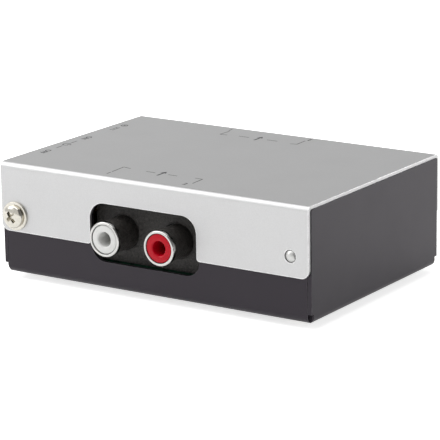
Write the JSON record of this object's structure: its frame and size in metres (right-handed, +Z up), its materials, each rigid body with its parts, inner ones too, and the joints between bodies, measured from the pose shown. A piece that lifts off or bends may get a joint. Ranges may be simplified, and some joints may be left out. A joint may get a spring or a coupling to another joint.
{
  "type": "phono preamp",
  "caption": "Small phono preamp in a folded two-part sheet case with twin phono jacks front and back, a ground terminal, a power slide switch and a low voltage inlet.",
  "frame": {"origin": "middle of the footprint on the plane that the feet stand on", "axes": "+X along the front towards the locating stud, +Y from the input jacks to the output jacks, +Z up"},
  "size_m": [0.0878, 0.0682, 0.0288],
  "materials": {
    "tray_charcoal": "satin paint",
    "plain_steel": "plated",
    "contact_brass": "plain",
    "ceramic_tan": "dipped coating",
    "board_green": "solder mask",
    "can_sleeve": "shrink sleeve",
    "black_moulding": "fine texture",
    "film_coating": "dipped coating",
    "ferrite": "sintered",
    "copper_coil": "enamelled",
    "warm_nickel": "bright nickel",
    "wire_green": "vinyl",
    "white_insulator": "satin gloss",
    "red_insulator": "satin gloss",
    "black_chip": "moulded epoxy",
    "resistor_blue": "lacquer",
    "black_rubber": "matt",
    "cover_silver": "fine satin"
  },
  "bodies": {
    "case": {"base_tray": "tray_charcoal", "board_screws": "plain_steel", "board_standoffs": "contact_brass", "ceramic_capacitors": "ceramic_tan", "circuit_board": "board_green", "component_leads": "plain_steel", "coupling_capacitors": "can_sleeve", "dc_inlet_body": "black_moulding", "dc_inlet_pin": "plain_steel", "dc_inlet_spring": "plain_steel", "dc_inlet_tails": "plain_steel", "film_capacitors": "film_coating", "filter_choke_core": "ferrite", "filter_choke_winding": "copper_coil", "ground_locknut": "plain_steel", "ground_lug": "contact_brass", "ground_press_nut": "plain_steel", "ground_wire": "wire_green", "input_centre_contacts": "contact_brass", "input_jack_block": "black_moulding", "input_jack_pins": "plain_steel", "input_left_insulator": "white_insulator", "input_left_shell": "warm_nickel", "input_right_insulator": "red_insulator", "input_right_shell": "warm_nickel", "locating_stud": "warm_nickel", "opamp_legs": "plain_steel", "opamp_packages": "black_chip", "output_centre_contacts": "contact_brass", "output_jack_block": "black_moulding", "output_jack_pins": "plain_steel", "output_left_insulator": "white_insulator", "output_left_shell": "warm_nickel", "output_right_insulator": "red_insulator", "output_right_shell": "warm_nickel", "polarity_diode": "black_chip", "power_switch_frame": "black_moulding", "power_switch_pins": "plain_steel", "rear_cover_screws": "warm_nickel", "rear_press_nuts": "plain_steel", "resistors": "resistor_blue", "rubber_feet": "black_rubber", "supply_capacitors": "can_sleeve", "top_cover": "cover_silver", "voltage_regulator": "black_chip"},
    "power_slider": {"power_switch_slider": "black_moulding"},
    "terminal_washer": {"ground_washer": "warm_nickel"},
    "terminal_screw": {"ground_screw": "warm_nickel"}
  },
  "joints": [
    {"name": "power_switch", "type": "slide", "parent": "case", "child": "power_slider", "axis": [0, 1, 0], "range_m": [0, 0.004]},
    {"name": "terminal_travel", "type": "slide", "parent": "case", "child": "terminal_washer", "axis": [0, -1, 0], "range_m": [0, 0.002]},
    {"name": "terminal_turn", "type": "hinge", "parent": "terminal_washer", "child": "terminal_screw", "pos_m": [-0.0381, -0.0295, 0.016], "axis": [0, -1, 0], "range_deg": [0, 1440]}
  ],
  "couplings": [
    {"joint": "terminal_turn", "follows": "terminal_travel", "rad_per_m": 12566}
  ]
}
